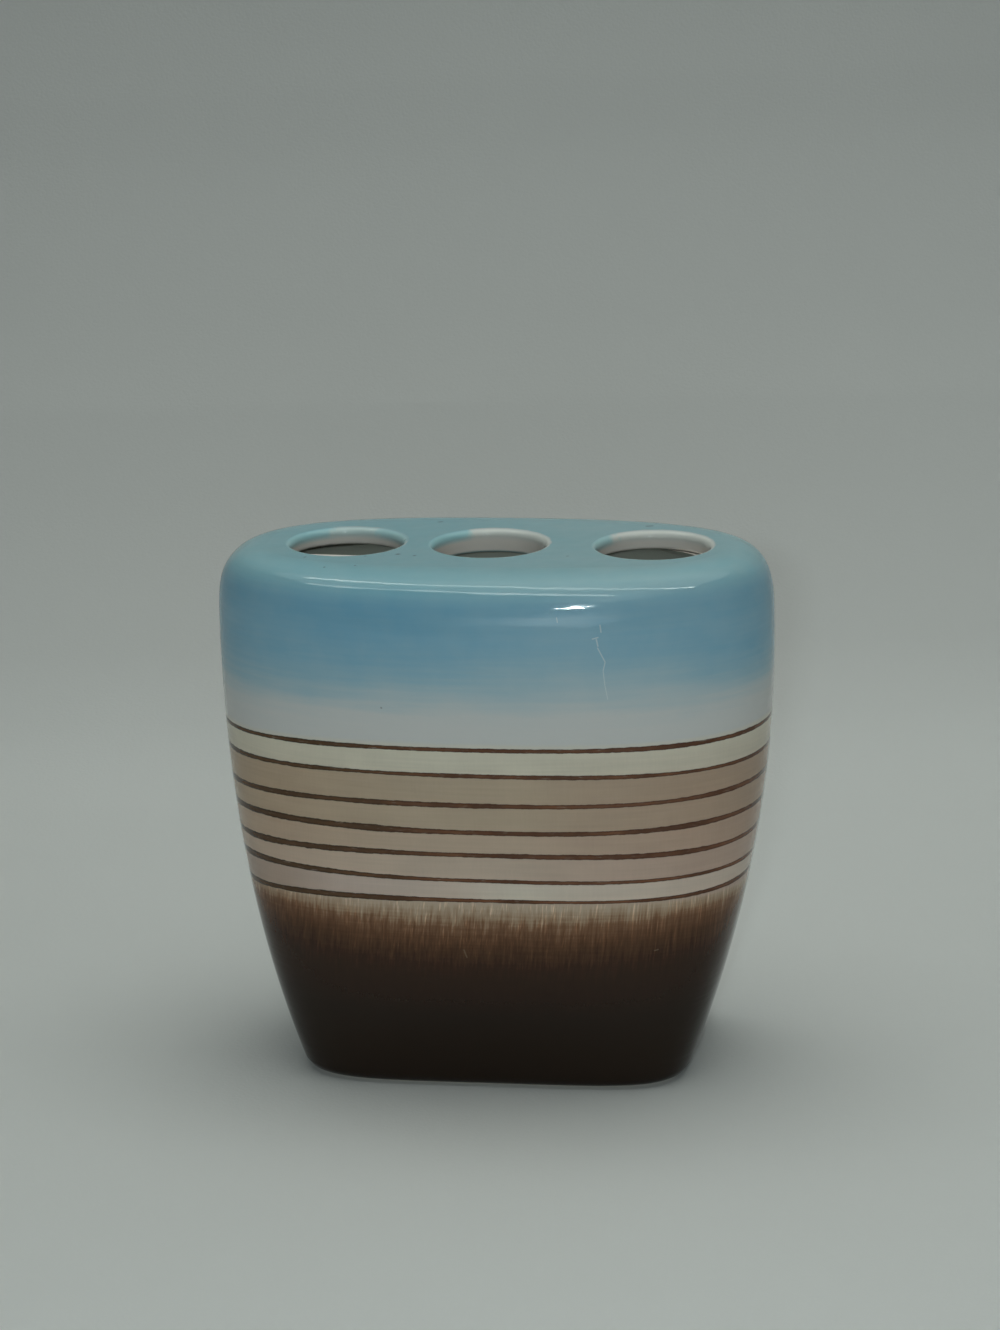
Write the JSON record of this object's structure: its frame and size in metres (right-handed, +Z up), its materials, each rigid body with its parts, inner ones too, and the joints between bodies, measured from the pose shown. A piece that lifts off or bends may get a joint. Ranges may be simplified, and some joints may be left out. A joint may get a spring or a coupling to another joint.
{
  "type": "toothbrush holder",
  "caption": "Glazed earthenware toothbrush holder, oval at the shoulders and squarish at the foot, with brush holes in its closed top and a pull-out stopper in its base.",
  "frame": {"origin": "middle of the foot, on the plane that the holder stands on", "axes": "+Z up, +X to the right along the row of brush holes, -Y towards the front"},
  "size_m": [0.11, 0.0604, 0.105],
  "materials": {
    "white_glaze": "clear gloss glaze over a white earthenware body, bare on the foot's ring",
    "blue_glaze": "gloss, sprayed and brushed blue that fades out downwards",
    "tan_glaze": "gloss over a thin brushed wash",
    "brown_glaze": "gloss, dark brown with a feathered, brushed upper edge",
    "brown_line": "gloss over hand-painted lines",
    "stopper_rubber": "soft, satin, slightly translucent"
  },
  "bodies": {
    "holder": {"ceramic_body": "white_glaze", "blue_glaze": "blue_glaze", "tan_glaze": "tan_glaze", "brown_glaze": "brown_glaze", "brown_line_1": "brown_line", "brown_line_2": "brown_line", "brown_line_3": "brown_line", "brown_line_4": "brown_line", "brown_line_5": "brown_line", "brown_line_6": "brown_line", "brown_line_7": "brown_line"},
    "stopper": {"base_stopper": "stopper_rubber"}
  },
  "joints": [
    {"name": "stopper_pull", "type": "slide", "parent": "holder", "child": "stopper", "axis": [0, 0, -1], "range_m": [0, 0.016]}
  ]
}
